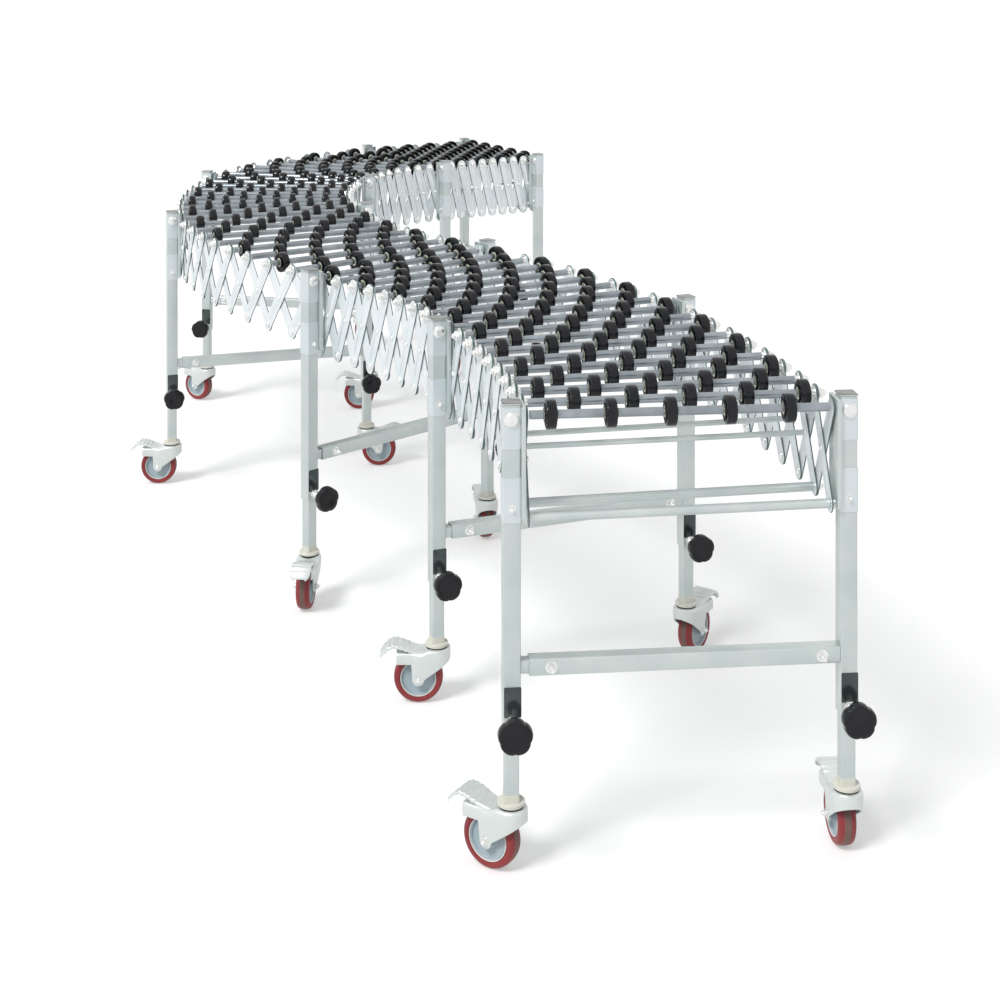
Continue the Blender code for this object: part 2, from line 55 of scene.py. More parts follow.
# Layout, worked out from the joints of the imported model

deck = {
    "stands": 7,
    "rootStand": 4,  # the others hang on it, towards both ends
    "cells": 9,  # scissor cells from one stand to the next
    "movingCells": 4,  # rows and cells this near either stand are baked in place, in each section
    "linkLength": 0.185,
    "axleHeight": 0.756,
    "latticeOffset": 0.2580,
    "latticeStep": 0.0055,  # every second section's links run inside its neighbours'
    "track": 0.570,
    "blendReach": 1000,  # a reach far longer than the deck
}


def standFrame(number):
    ends = [Vector(joints[f"stand_{number}_{side}_caster_swivel"]["pos_m"]) for side in ("left", "right")]
    across = (ends[1] - ends[0]).normalized()
    middle = (ends[0] + ends[1]) / 2
    turn = Matrix((across, (-across.y, across.x, 0), (0, 0, 1))).transposed().to_4x4()
    return Matrix.Translation((middle.x, middle.y, 0)) @ turn


class Section:
    def __init__(self, number):
        self.number = number
        self.start, self.end = standFrame(number), standFrame(number + 1)
        across = self.start.to_3x3().inverted() @ self.end.to_3x3().col[0]
        self.turn = atan2(across.y, across.x)
        chord = (self.end.translation - self.start.translation).length
        half = self.turn / 2
        self.length = chord * (half / sin(half) if half else 1)
        self.pitch = self.length / deck["cells"]
        self.offset = deck["latticeOffset"] - deck["latticeStep"] * ((number + 1) % 2)
        self.away = number >= deck["rootStand"]
        self.inner, self.outer = (number, number + 1) if self.away else (number + 1, number)

    def frame(self, joint, height=0):
        along = joint * self.pitch
        half = self.turn * along / self.length / 2
        chord = along * (sin(half) / half if half else 1)
        step = Matrix.Translation((-sin(half) * chord, cos(half) * chord, height))
        return self.start @ step @ Matrix.Rotation(2 * half, 4, "Z")

    def drop(self, side):
        pitch = (self.length + side * self.offset * self.turn) / deck["cells"]
        return sqrt(deck["linkLength"] ** 2 - pitch ** 2)

    def pivot(self, side, joint, low, aside=0):
        height = deck["axleHeight"] - (self.drop(side) if low else 0)
        return self.frame(joint) @ Vector((side * (self.offset + aside), 0, height))

    # How many cells a joint lies from the inner stand
    def count(self, joint):
        return joint if self.away else deck["cells"] - joint


sections = [Section(number) for number in range(1, deck["stands"])]


# Riding: the middle rows and cells ride on their section, those near either stand are baked in place


def zone(section, count):
    moving, cells = deck["movingCells"], deck["cells"]
    body = f"section_{section.number}"
    if count < moving:
        return f"stand_{section.inner}", body, 0
    if count > cells - moving:
        return body, f"stand_{section.outer}", cells - moving
    return None


# A row of pieces rides on its section as one, or near either stand is baked in place
def rideRow(piece, section, joint):
    count = section.count(joint)
    found = zone(section, count)
    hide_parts(f"section_{section.number}")
    if not found:
        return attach(piece, f"section_{section.number}")
    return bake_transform(piece)


# One cell's links on one side ride on their section, or near either stand are baked in place
def rideCell(piece, section, side, cell):
    counts = sorted((section.count(cell), section.count(cell + 1)))
    found = zone(section, sum(counts) / 2)
    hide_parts(f"section_{section.number}")
    if not found:
        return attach(piece, f"section_{section.number}")
    ends = [section.pivot(side, joint, False) for joint in (cell, cell + 1)]
    if not section.away:
        ends.reverse()
    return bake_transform(piece)


# Finishes, each with its darkest and lightest tint and its least and greatest roughness

finishes = {
    "zinc": {
        "colours": ((0.53, 0.6, 0.59), (0.65, 0.7, 0.68)), "metal": 0.55, "rough": (0.24, 0.42),
        "grain": 60, "bump": 0.03,
    },
    "sleeve": {
        "colours": ((0.67, 0.73, 0.75), (0.73, 0.78, 0.80)), "metal": 0.45, "rough": (0.30, 0.36),
        "grain": 50, "bump": 0.03,
    },
    "link": {
        "colours": ((0.76, 0.83, 0.85), (0.88, 0.92, 0.94)), "metal": 0.4, "rough": (0.26, 0.42),
        "grain": 90, "bump": 0.04,
    },
    # painted shade: the sides of the links, for the shade along their edges and in the slits between them
    "linkEdgeShade": {
        "colours": ((0.08, 0.12, 0.12), (0.18, 0.24, 0.24)), "metal": 0.5, "rough": (0.3, 0.45),
        "grain": 90, "bump": 0.02,
    },
    "spacer": {
        "colours": ((0.24, 0.27, 0.29), (0.39, 0.43, 0.46)), "metal": 0.65, "rough": (0.2, 0.3),
        "grain": 110, "bump": 0.03,
    },
    "bolt": {
        "colours": ((0.76, 0.77, 0.75), (0.92, 0.92, 0.9)), "metal": 0.8, "rough": (0.14, 0.28),
        "grain": 200, "bump": 0.02,
    },
    "hub": {
        "colours": ((0.5, 0.52, 0.38), (0.82, 0.84, 0.68)), "metal": 0.7, "rough": (0.25, 0.42),
        "grain": 160, "bump": 0.03,
    },
    "black": {
        "colours": ((0.005, 0.006, 0.007), (0.014, 0.014, 0.018)), "metal": 0.0, "rough": (0.06, 0.18),
        "grain": 120, "bump": 0.02, "specular": 0.28,
    },
    "tread": {
        "colours": ((0.22, 0.022, 0.028), (0.34, 0.045, 0.045)), "metal": 0.0, "rough": (0.34, 0.52),
        "grain": 70, "bump": 0.05, "specular": 0.4,
    },
    "worn": {
        "colours": ((0.14, 0.085, 0.075), (0.24, 0.13, 0.11)), "metal": 0.0, "rough": (0.5, 0.7),
        "grain": 70, "bump": 0.05, "specular": 0.4,
    },
    "rim": {
        "colours": ((0.62, 0.62, 0.6), (0.74, 0.73, 0.7)), "metal": 0.0, "rough": (0.35, 0.5),
        "grain": 80, "bump": 0.02,
    },
    "disc": {
        "colours": ((0.34, 0.43, 0.47), (0.46, 0.54, 0.59)), "metal": 0.0, "rough": (0.32, 0.46),
        "grain": 60, "bump": 0.02,
    },
    "fork": {
        "colours": ((0.69, 0.74, 0.72), (0.78, 0.81, 0.79)), "metal": 0.4, "rough": (0.30, 0.34),
        "grain": 30, "bump": 0.0,
    },
    "flange": {
        "colours": ((0.7, 0.69, 0.6), (0.84, 0.83, 0.77)), "metal": 0.0, "rough": (0.35, 0.5),
        "grain": 60, "bump": 0.02,
    },
    # painted shade: the gap of the raceway between the swivel and the leg
    "raceGapShade": {
        "colours": ((0.015, 0.02, 0.022), (0.05, 0.06, 0.065)), "metal": 0.2, "rough": (0.3, 0.45),
        "grain": 60, "bump": 0.02,
    },
    "cap": {
        "colours": ((0.14, 0.145, 0.14), (0.28, 0.28, 0.265)), "metal": 0.3, "rough": (0.2, 0.35),
        "grain": 60, "bump": 0.02,
    },
    # painted reflection: the thin sheet on each leg above its knob, for the knob's reflection in the tube
    "plate": {
        "colours": ((0.02, 0.028, 0.028), (0.1, 0.12, 0.12)), "metal": 0.5, "rough": (0.1, 0.22),
        "grain": 70, "bump": 0.01, "specular": 0.4,
    },
}

noise = {
    "cloudDivisor": 6,  # broad patches of tint
    "cloudDetail": 4,
    "grainFactor": 4,  # fine grain for gloss and bump
    "grainDetail": 6,
    "tintFrom": 0.3,
    "tintTo": 0.7,
    "bumpDistance": 0.001,
    "specular": 0.5,
}


def makeFinish(name, look):
    material = bpy.data.materials.new(name)
    material.use_nodes = True
    nodes, links = material.node_tree.nodes, material.node_tree.links
    shader = nodes["Principled BSDF"]
    shader.inputs["Metallic"].default_value = look["metal"]
    shader.inputs["Specular IOR Level"].default_value = look.get("specular", noise["specular"])
    place = nodes.new("ShaderNodeTexCoord")
    cloud, grain = nodes.new("ShaderNodeTexNoise"), nodes.new("ShaderNodeTexNoise")
    cloud.inputs["Scale"].default_value = look["grain"] / noise["cloudDivisor"]
    cloud.inputs["Detail"].default_value = noise["cloudDetail"]
    grain.inputs["Scale"].default_value = look["grain"] * noise["grainFactor"]
    grain.inputs["Detail"].default_value = noise["grainDetail"]
    tint = nodes.new("ShaderNodeValToRGB")
    stops = tint.color_ramp.elements
    for stop, colour in zip(stops, look["colours"]):
        stop.color = (*colour, 1)
    stops[0].position, stops[1].position = noise["tintFrom"], noise["tintTo"]
    gloss = nodes.new("ShaderNodeMapRange")
    gloss.inputs["To Min"].default_value, gloss.inputs["To Max"].default_value = look["rough"]
    bump = nodes.new("ShaderNodeBump")
    bump.inputs["Strength"].default_value = look["bump"]
    bump.inputs["Distance"].default_value = noise["bumpDistance"]
    for texture in (cloud, grain):
        links.new(place.outputs["Object"], texture.inputs["Vector"])
    links.new(cloud.outputs["Fac"], tint.inputs["Fac"])
    links.new(tint.outputs["Color"], shader.inputs["Base Color"])
    links.new(grain.outputs["Fac"], gloss.inputs["Value"])
    links.new(gloss.outputs["Result"], shader.inputs["Roughness"])
    links.new(grain.outputs["Fac"], bump.inputs["Height"])
    links.new(bump.outputs["Normal"], shader.inputs["Normal"])
    return material


materials = {name: makeFinish(name, look) for name, look in finishes.items()}
print("finishes made:", len(materials))


# Shapes, each added to a bmesh with the number of its material

def loft(bm, rings, place, material=0, ring=False, smooth=True):
    loops = [[bm.verts.new(place @ Vector(point)) for point in points] for points in rings]
    pairs = list(zip(loops, loops[1:]))
    if ring:
        pairs.append((loops[-1], loops[0]))
    count = len(loops[0])
    faces = [
        bm.faces.new((low[n], low[(n + 1) % count], high[(n + 1) % count], high[n]))
        for low, high in pairs for n in range(count)
    ]
    if not ring:
        faces += [bm.faces.new(list(reversed(loops[0]))), bm.faces.new(loops[-1])]
    for face in faces:
        face.material_index = material
        face.smooth = smooth
    return faces


# Turned about the local Z axis, from (radius, height) pairs
def turned(bm, profile, place, steps, material=0, ring=False):
    rings = [
        [(radius * cos(2 * pi * n / steps), radius * sin(2 * pi * n / steps), height) for n in range(steps)]
        for radius, height in profile
    ]
    return loft(bm, rings, place, material, ring)


# A profile of one face, followed by the other face's
def mirrored(profile):
    return profile + [(radius, -height) for radius, height in reversed(profile)]


def roundedSquare(width, depth, radius, height, steps=4):
    points = []
    for quarter, (x, y) in enumerate(((1, 1), (-1, 1), (-1, -1), (1, -1))):
        for step in range(steps + 1):
            angle = (quarter + step / steps) * pi / 2
            points.append((
                x * (width / 2 - radius) + radius * cos(angle),
                y * (depth / 2 - radius) + radius * sin(angle), height,
            ))
    return points


def roundedSlot(reach, radius, height, steps=8):
    points = []
    for end in (1, -1):
        for step in range(steps + 1):
            angle = -end * pi / 2 + pi * step / steps
            points.append((end * reach / 2 + radius * cos(angle), radius * sin(angle), height))
    return points


def plate(bm, width, depth, radius, low, high, chamfer, place, material=0):
    outlines = ((chamfer, low), (0, low + chamfer), (0, high - chamfer), (chamfer, high))
    rings = [roundedSquare(width - 2 * cut, depth - 2 * cut, radius, height) for cut, height in outlines]
    loft(bm, rings, place, material)


def squareTube(bm, width, wall, radius, low, high, place, material=0):
    inner = width - 2 * wall
    rings = [roundedSquare(width, width, radius, height) for height in (low, high)]
    rings += [roundedSquare(inner, inner, radius - wall / 2, height) for height in (high, low)]
    loft(bm, rings, place, material, ring=True)


def hexNut(bm, radius, height, place, material=0):
    hexagon = [(cos(pi * n / 3), sin(pi * n / 3)) for n in range(6)]
    rings = [[(x * size, y * size, z) for x, y in hexagon] for size, z in (
        (radius * 0.94, 0), (radius, height * 0.12), (radius, height * 0.85), (radius * 0.90, height),
    )]
    loft(bm, rings, place, material, smooth=False)


def dome(bm, radius, height, place, material=0, steps=16):
    profile = [(radius, 0)]
    for angle in (0, 0.4, 0.8, 1.15, 1.45):
        profile.append((radius * cos(angle), height * (0.35 + 0.65 * sin(angle))))
    turned(bm, profile, place, steps, material)


def washer(bm, radius, place, material=0):
    profile = [(radius * 1.35, 0), (radius * 1.35, radius * 0.2), (radius, radius * 0.22)]
    turned(bm, profile, place, 18, material)


# Ridges and grooves by turns along the local Z axis
def thread(bm, radius, groove, step, first, count, place, material=0):
    profile = [(radius if n % 2 else groove, first + step * n) for n in range(count)]
    turned(bm, profile, place, 14, material)


# A nut with its washer and the domed end of the bolt, standing on the local XY plane
def boltEnd(bm, radius, place, material=0):
    washer(bm, radius, place, material)
    hexNut(bm, radius, radius * 0.85, place @ Matrix.Translation((0, 0, radius * 0.2)), material)
    dome(bm, radius * 0.62, radius * 0.8, place @ Matrix.Translation((0, 0, radius)), material, 12)


# A frame with its Z axis on the given direction
def facing(point, direction):
    turn = Vector(direction).to_track_quat("Z", "Y").to_matrix().to_4x4()
    return Matrix.Translation(point) @ turn


crosswise = facing((0, 0, 0), (1, 0, 0))
sharpAngle = radians(38)  # edges between faces that turn by more stay sharp


# A piece made about a place of its own has it as its origin
def makePiece(name, bm, looks, place=None):
    if place is not None:
        bmesh.ops.transform(bm, matrix=place.inverted(), verts=bm.verts)
    bmesh.ops.recalc_face_normals(bm, faces=bm.faces)
    mesh = bpy.data.meshes.new(name)
    bm.to_mesh(mesh)
    bm.free()
    for look in looks:
        mesh.materials.append(materials[look])
    mesh.set_sharp_from_angle(angle=sharpAngle)
    piece = bpy.data.objects.new(name, mesh)
    bpy.context.scene.collection.objects.link(piece)
    if place is not None:
        piece.matrix_world = place
    return piece


# Skate wheels and axles

skate = {
    "radius": 0.0245,
    "width": 0.022,
    "rimWidth": 0.0175,
    "rimRadius": 0.0190,
    "bossRadius": 0.0130,
    "hubRadius": 0.0108,
    "spacing": 0.10113,
    "offset": 0.0085,  # all the wheels stand a little to the right of the middle
    "count": 5,
    "steps": 28,
    "hubSteps": 16,
}


def skatePlaces(row):
    side = 1 if row % 2 else -1
    middle = (skate["count"] - 1) / 2
    return [(n - middle + side / 4) * skate["spacing"] + skate["offset"] for n in range(skate["count"])]


# About the local Z axis, with the moulded wheel first and its pressed hub second
def skateWheel(bm, place):
    radius, half, edge = skate["radius"], skate["width"] / 2, skate["rimWidth"] / 2
    rim, boss, hub = skate["rimRadius"], skate["bossRadius"], skate["hubRadius"]
    side = [
        (hub, half * 0.90), (boss - 0.0008, half), (boss, half * 0.94), (boss + 0.0006, edge * 0.62),
        (rim - 0.0012, edge * 0.58), (rim, edge * 0.92), (rim + 0.0008, edge), (radius - 0.0022, edge),
        (radius - 0.0006, edge * 0.88), (radius, edge * 0.66),
    ]
    turned(bm, mirrored(side), place, skate["steps"], 0, ring=True)
    side = [(0.0050, half * 0.70), (0.0064, half * 0.93), (0.0090, half * 0.95), (hub, half * 0.88)]
    turned(bm, mirrored(side), place, skate["hubSteps"], 1, ring=True)


axle = {
    "spacerRadius": 0.0075,
    "rodRadius": 0.0042,
    "spacerGap": 0.0006,
    "spacerChamfer": 0.001,
    "shortestSpacer": 0.004,
    "nutRadius": 0.0095,
    "innerNutRadius": 0.0085,
    "innerNutHeight": 0.0065,
    "lowerPinRadius": 0.0065,
    "spacerInset": 1.2,  # these three in thicknesses of a link, from the middle of its layers
    "nutFace": 1.05,
    "stubStart": 1.1,
}


def spacerTubes(bm, row, reach, place):
    edges = [-reach]
    for x in skatePlaces(row):
        edges += [x - skate["width"] / 2, x + skate["width"] / 2]
    edges.append(reach)
    radius, cut, lie = axle["spacerRadius"], axle["spacerChamfer"], place @ crosswise
    for low, high in zip(edges[::2], edges[1::2]):
        low, high = low + axle["spacerGap"], high - axle["spacerGap"]
        if high - low >= axle["shortestSpacer"]:
            profile = [(radius - cut, low), (radius, low + cut), (radius, high - cut), (radius - cut, high)]
            turned(bm, profile, lie, 16, 0)
    turned(bm, [(axle["rodRadius"], -reach), (axle["rodRadius"], reach)], lie, 10, 1)


def sectionRow(section, joint):
    name = f"section{section.number}Row{joint}"
    row = (section.number - 1) * deck["cells"] + joint
    place = section.frame(joint, deck["axleHeight"])
    wheels = bmesh.new()
    for x in skatePlaces(row):
        skateWheel(wheels, place @ facing((x, 0, 0), (1, 0, 0)))
    rideRow(makePiece(f"{name}Wheels", wheels, ["black", "hub"]), section, joint)

    rods = bmesh.new()
    spacerTubes(rods, row, section.offset - link["thickness"] * axle["spacerInset"], place)
    for side in sides.values():
        outward = section.frame(joint).to_3x3().col[0] * side
        face = link["thickness"] * axle["nutFace"]
        boltEnd(rods, axle["nutRadius"], facing(section.pivot(side, joint, False, face), outward), 1)
        inside = facing(section.pivot(side, joint, False, -face), -outward)
        washer(rods, axle["innerNutRadius"], inside, 1)
        hexNut(rods, axle["innerNutRadius"], axle["innerNutHeight"], inside, 1)
        for way in (-1, 1):
            lie = facing(section.pivot(side, joint, True, way * face), outward * way)
            washer(rods, axle["lowerPinRadius"], lie, 1)
            dome(rods, axle["lowerPinRadius"], axle["lowerPinRadius"] * 0.6, lie, 1)
    rideRow(makePiece(f"{name}Axle", rods, ["spacer", "bolt"]), section, joint)


# Scissor links

link = {
    "width": 0.032,
    "thickness": 0.0024,
    "layerGap": 0.0001,  # from each layer to the middle between the two
    "chamfer": 0.0008,
    "ribWidth": 0.0130,
    "ribHeight": 0.0016,
    "ribTaper": 0.55,
    "ribEnd": 0.024,  # from the pivot to the middle of the rib's round end
    "rivetRadius": 0.0060,
    "rivetHeight": 0.0050,
}


def addLink(bm, start, end, outward, layer):
    along = (end - start).normalized()
    normal = (outward - outward.dot(along) * along).normalized()
    axes = Matrix((along, normal.cross(along), normal)).transposed().to_4x4()
    place = Matrix.Translation((start + end) / 2) @ axes
    reach, radius, thick = (end - start).length, link["width"] / 2, link["thickness"]
    low = link["layerGap"] if layer > 0 else -thick - link["layerGap"]
    chamfer = link["chamfer"]
    rings = [
        roundedSlot(reach, radius - chamfer, low), roundedSlot(reach, radius, low + chamfer),
        roundedSlot(reach, radius, low + thick - chamfer),
        roundedSlot(reach, radius - chamfer, low + thick),
    ]
    for face in loft(bm, rings, place)[:-2]:  # all but the two flat sides, which carry painted shade along the link's edges
        face.material_index = 2
    foot = low + thick if layer > 0 else low
    ribReach, rib = reach - 2 * link["ribEnd"], link["ribWidth"] / 2
    top = foot + link["ribHeight"] * layer
    loft(bm, [roundedSlot(ribReach, rib, foot), roundedSlot(ribReach, rib * link["ribTaper"], top)], place)


def sectionCell(section, cell):
    for label, side in sides.items():
        bm = bmesh.new()
        outward = section.frame(cell + 0.5).to_3x3().col[0] * side
        corners = {
            (joint, low): section.pivot(side, joint, low)
            for joint in (cell, cell + 1) for low in (False, True)
        }
        addLink(bm, corners[cell, False], corners[cell + 1, True], outward, 1)
        addLink(bm, corners[cell, True], corners[cell + 1, False], outward, -1)
        middle = sum(corners.values(), Vector()) / 4
        for way in (-1, 1):
            lie = facing(middle + outward * way * link["thickness"], outward * way)
            dome(bm, link["rivetRadius"], link["rivetHeight"], lie, 1)
        name = f"section{section.number}Cell{cell + 1}{label}Links"
        rideCell(makePiece(name, bm, ["link", "bolt", "linkEdgeShade"]), section, side, cell)


# Tie rods under the deck, at its two ends

tieRods = {
    "lowerRadius": 0.008,
    "middleRadius": 0.005,
    "lowerJoints": (0, 1),
    "middleJoints": (1.5, 2.5),
    "inset": 0.003,
    "nutOut": 0.006,
}


def tieRod(section, joint, share, radius):
    bm = bmesh.new()
    ends = []
    for side in sides.values():
        height = deck["axleHeight"] - share * section.drop(side)
        ends.append(section.frame(joint) @ Vector((side * (section.offset - tieRods["inset"]), 0, height)))
    span = ends[1] - ends[0]
    turned(bm, [(radius, 0), (radius, span.length)], facing(ends[0], span), 14)
    for end, way in zip(ends, (-1, 1)):
        point = end + span.normalized() * way * tieRods["nutOut"]
        boltEnd(bm, radius * 0.9, facing(point, span * way), 1)
    name = f"section{section.number}TieRod{str(joint).replace('.', '_')}"
    piece = makePiece(name, bm, ["zinc", "bolt"])
    if section.count(joint) == deck["cells"]:
        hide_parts(f"section_{section.number}")
        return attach(piece, f"stand_{section.outer}")
    return rideRow(piece, section, joint)


def makeSections():
    for section in sections:
        for joint in range(1, deck["cells"]):
            sectionRow(section, joint)
        for cell in range(deck["cells"]):
            sectionCell(section, cell)
    for section in (sections[0], sections[-1]):
        for places, share, radius in (
            (tieRods["lowerJoints"], 1, tieRods["lowerRadius"]),
            (tieRods["middleJoints"], 0.5, tieRods["middleRadius"]),
        ):
            for place in places:
                joint = place if section is sections[0] else deck["cells"] - place
                tieRod(section, joint, share, radius)
    print("sections made:", len(sections))


# Stands

stand = {
    "tubeWidth": 0.030,
    "tubeWall": 0.0015,
    "tubeBottom": 0.241,
    "tubeTop": 0.776,
    "cornerRadius": 0.0030,
    "clearance": 0.0002,
    "capWidth": 0.0330,
    "capCorner": 0.003,
    "capChamfer": 0.0008,
    "capThickness": 0.0035,
    "capTop": 0.780,
    "sleeveWidth": 0.0326,
    "sleeveWall": 0.0011,
    "sleeves": ((0.704, 0.7725), (0.583, 0.657)),
    "channelDepth": 0.050,
    "channelHeight": 0.0075,
    "channelCorner": 0.0012,
    "channelChamfer": 0.0006,
    "channelBottom": 0.590,
    "channelTop": 0.774,
    "crossbarHeight": 0.342,
    "crossbarWidth": 0.028,
    "crossbarWall": 0.0018,
    "crossbarCorner": 0.0028,
    "stubWidth": 0.022,
    "stubCorner": 0.0024,
    "stubLength": 0.014,
    "stubOverlap": 0.03,
    "domedBolt": {"height": 0.753, "plate": 0.0130, "radius": 0.0122, "rise": 0.0062},
    "lowerBolt": {"height": 0.606, "radius": 0.0048},
    "crossbarBolts": (-0.219, 0.239),
    "crossbarNut": 0.0075,
    "boltThread": {"radius": 0.0040, "groove": 0.0034, "step": 0.001, "first": 0.006, "count": 13},
}


def legCentre(label, place):
    return place @ Matrix.Translation((sides[label] * deck["track"] / 2, 0, 0))


def outerLeg(number, label, place):
    bm = bmesh.new()
    centre, corner = legCentre(label, place), stand["cornerRadius"]
    bottom, top = stand["tubeBottom"], stand["tubeTop"]
    squareTube(bm, stand["tubeWidth"], stand["tubeWall"], corner, bottom, top, centre)
    corner += stand["sleeveWall"]
    for low, high in stand["sleeves"]:
        squareTube(bm, stand["sleeveWidth"], stand["sleeveWall"], corner, low, high, centre, 1)
    return makePiece(f"stand{number}{label}OuterLeg", bm, ["zinc", "sleeve"], place)


def legCap(number, label, place):
    bm = bmesh.new()
    width, top, chamfer = stand["capWidth"], stand["capTop"], stand["capChamfer"]
    under = top - stand["capThickness"]
    plate(bm, width, width, stand["capCorner"], under, top, chamfer, legCentre(label, place))
    for face in bm.faces:
        if face.calc_center_median().z > top - chamfer - stand["clearance"]:
            face.material_index = 1
    return makePiece(f"stand{number}{label}Cap", bm, ["zinc", "cap"], place)


# The upright that the links end at, closed and flat on the leg's inner side
def linkChannel(number, label, place):
    depth = stand["channelHeight"] - stand["clearance"]
    middle = deck["track"] / 2 - stand["tubeWidth"] / 2 - stand["clearance"] - depth / 2
    bm = bmesh.new()
    plate(
        bm, depth, stand["channelDepth"], stand["channelCorner"], stand["channelBottom"],
        stand["channelTop"], stand["channelChamfer"],
        place @ Matrix.Translation((sides[label] * middle, 0, 0)),
    )
    return makePiece(f"stand{number}{label}LinkChannel", bm, ["zinc"], place)


def legBolts(number, label, place):
    bm = bmesh.new()
    x, front = sides[label] * deck["track"] / 2, -stand["sleeveWidth"] / 2
    domed, lower = stand["domedBolt"], stand["lowerBolt"]
    lie = place @ facing((x, front, domed["height"]), (0, -1, 0))
    turned(bm, [(domed["plate"], 0), (domed["plate"], 0.0012), (domed["plate"] - 0.0005, 0.0014)], lie, 24)
    dome(bm, domed["radius"], domed["rise"], lie, steps=24)
    boltEnd(bm, lower["radius"], place @ facing((x, front, lower["height"]), (0, -1, 0)))
    return makePiece(f"stand{number}{label}LegBolts", bm, ["bolt"], place)


def crossbar(number, place):
    bm = bmesh.new()
    face = deck["track"] / 2 - stand["tubeWidth"] / 2
    stub, gap, wall = stand["stubLength"] - face, stand["clearance"], stand["crossbarWall"]
    lie = place @ Matrix.Translation((0, 0, stand["crossbarHeight"])) @ Matrix.Rotation(pi / 2, 4, "Y")
    squareTube(bm, stand["crossbarWidth"], wall, stand["crossbarCorner"], stub, face - gap, lie)
    inside = stub + stand["stubOverlap"]
    squareTube(bm, stand["stubWidth"], wall, stand["stubCorner"], gap - face, inside, lie)
    return makePiece(f"stand{number}Crossbar", bm, ["zinc"], place)


def crossbarBolts(number, place):
    bm = bmesh.new()
    for x in stand["crossbarBolts"]:
        for way in (-1, 1):
            point = (x, way * stand["crossbarWidth"] / 2, stand["crossbarHeight"])
            lie = place @ facing(point, (0, way, 0))
            boltEnd(bm, stand["crossbarNut"], lie)
            thread(bm, place=lie, **stand["boltThread"])
    return makePiece(f"stand{number}CrossbarBolts", bm, ["bolt"], place)


def standAxle(number, place):
    row = (number - 1) * deck["cells"]
    lie = place @ Matrix.Translation((0, 0, deck["axleHeight"]))
    offsets = [section.offset for section in sections if number in (section.number, section.number + 1)]
    rods = bmesh.new()
    spacerTubes(rods, row, min(offsets) - link["thickness"] * axle["spacerInset"], lie)
    near = max(offsets) + link["thickness"] * axle["stubStart"]  # past the links, up to the upright
    far = deck["track"] / 2 - stand["tubeWidth"] / 2 - stand["channelHeight"]
    profile = [(axle["spacerRadius"], near), (axle["spacerRadius"], far)]
    for side in sides.values():
        turned(rods, profile, lie @ facing((0, 0, 0), (side, 0, 0)), 16)
    pieces = [makePiece(f"stand{number}Axle", rods, ["spacer", "bolt"], place)]
    if number > 1:
        wheels = bmesh.new()
        for x in skatePlaces(row):
            skateWheel(wheels, lie @ facing((x, 0, 0), (1, 0, 0)))
        pieces.append(makePiece(f"stand{number}SkateWheels", wheels, ["black", "hub"], place))
    return pieces


def frontSkateWheels(place):
    for number, x in enumerate(skatePlaces(0), 1):
        bm = bmesh.new()
        lie = place @ Matrix.Translation((x, 0, deck["axleHeight"]))
        skateWheel(bm, lie @ crosswise)
        piece = makePiece(f"frontSkateWheel{number}", bm, ["black", "hub"], lie)
        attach(piece, f"front_skate_wheel_{number}")
        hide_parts(f"front_skate_wheel_{number}")


# Height knobs, with a thin sheet over each that carries the knob's painted reflection on the leg

knob = {
    "height": 0.256,
    "radius": 0.0294,
    "waistShare": 0.90,
    "lobes": 5,
    "lobePower": 0.7,  # under one makes the lobes broader and the waists sharper
    "steps": 60,
    "standoff": 0.042,
    "thickness": 0.022,
    "screwRadius": 0.006,
    "screwGroove": 0.86,
    "screwStep": 0.0012,
    "footRadius": 1.7,  # as a share of the screw's
    "footHeight": 0.006,
    "nutRadius": 0.0105,
    "nutHeight": 0.009,
    "nutGap": 0.0002,
    "reflectionWidth": 0.029,
    "reflectionHeight": 0.050,
    "reflectionAside": 0.0012,
    "reflectionThickness": 0.0006,
    "reflectionCorner": 0.002,
}


def heightKnob(number, label, place):
    bm = bmesh.new()
    x, face = sides[label] * deck["track"] / 2, -stand["tubeWidth"] / 2
    lie = place @ facing((x, face - knob["standoff"], knob["height"]), (0, -1, 0))
    thick, steps, waist = knob["thickness"], knob["steps"], knob["waistShare"]
    rings = []
    for share, height in (
        (0.45, 0.0), (0.80, 0.0), (0.95, 0.0020), (1.0, 0.0060), (1.0, thick - 0.0070),
        (0.95, thick - 0.0025), (0.82, thick - 0.0004), (0.55, thick), (0.30, thick - 0.0010),
        (0.10, thick - 0.0012),
    ):
        ring = []
        for n in range(steps):
            angle = 2 * pi * n / steps
            lobe = abs(cos(knob["lobes"] * (angle - pi / 2) / 2)) ** knob["lobePower"]
            radius = knob["radius"] * share * (waist + (1 - waist) * lobe)
            ring.append((radius * cos(angle), radius * sin(angle), height))
        rings.append(ring)
    loft(bm, rings, lie)
    screw = place @ facing((x, face, knob["height"]), (0, -1, 0))
    radius, step = knob["screwRadius"], knob["screwStep"]
    thread(bm, radius, radius * knob["screwGroove"], step, 0, int(knob["standoff"] / step) + 1, screw, 1)
    hexNut(bm, radius * knob["footRadius"], knob["footHeight"], screw, 1)
    seat = Matrix.Translation((0, 0, knob["standoff"] - knob["nutHeight"] - knob["nutGap"]))
    hexNut(bm, knob["nutRadius"], knob["nutHeight"], screw @ seat, 1)
    return makePiece(f"stand{number}{label}Knob", bm, ["black", "bolt"], place)


# A thin sheet on the leg's front face above the knob, coloured as a painted reflection of the knob
def knobReflectionSheet(number, label, place):
    bm = bmesh.new()
    x = sides[label] * deck["track"] / 2 + knob["reflectionAside"]
    middle = knob["height"] + knob["screwRadius"] + knob["reflectionHeight"] / 2
    lie = place @ facing((x, -stand["tubeWidth"] / 2, middle), (0, -1, 0))
    thick = knob["reflectionThickness"]
    plate(bm, knob["reflectionWidth"], knob["reflectionHeight"], knob["reflectionCorner"], 0, thick, 0.0002, lie)
    return makePiece(f"stand{number}{label}ClampPlate", bm, ["plate"], place)


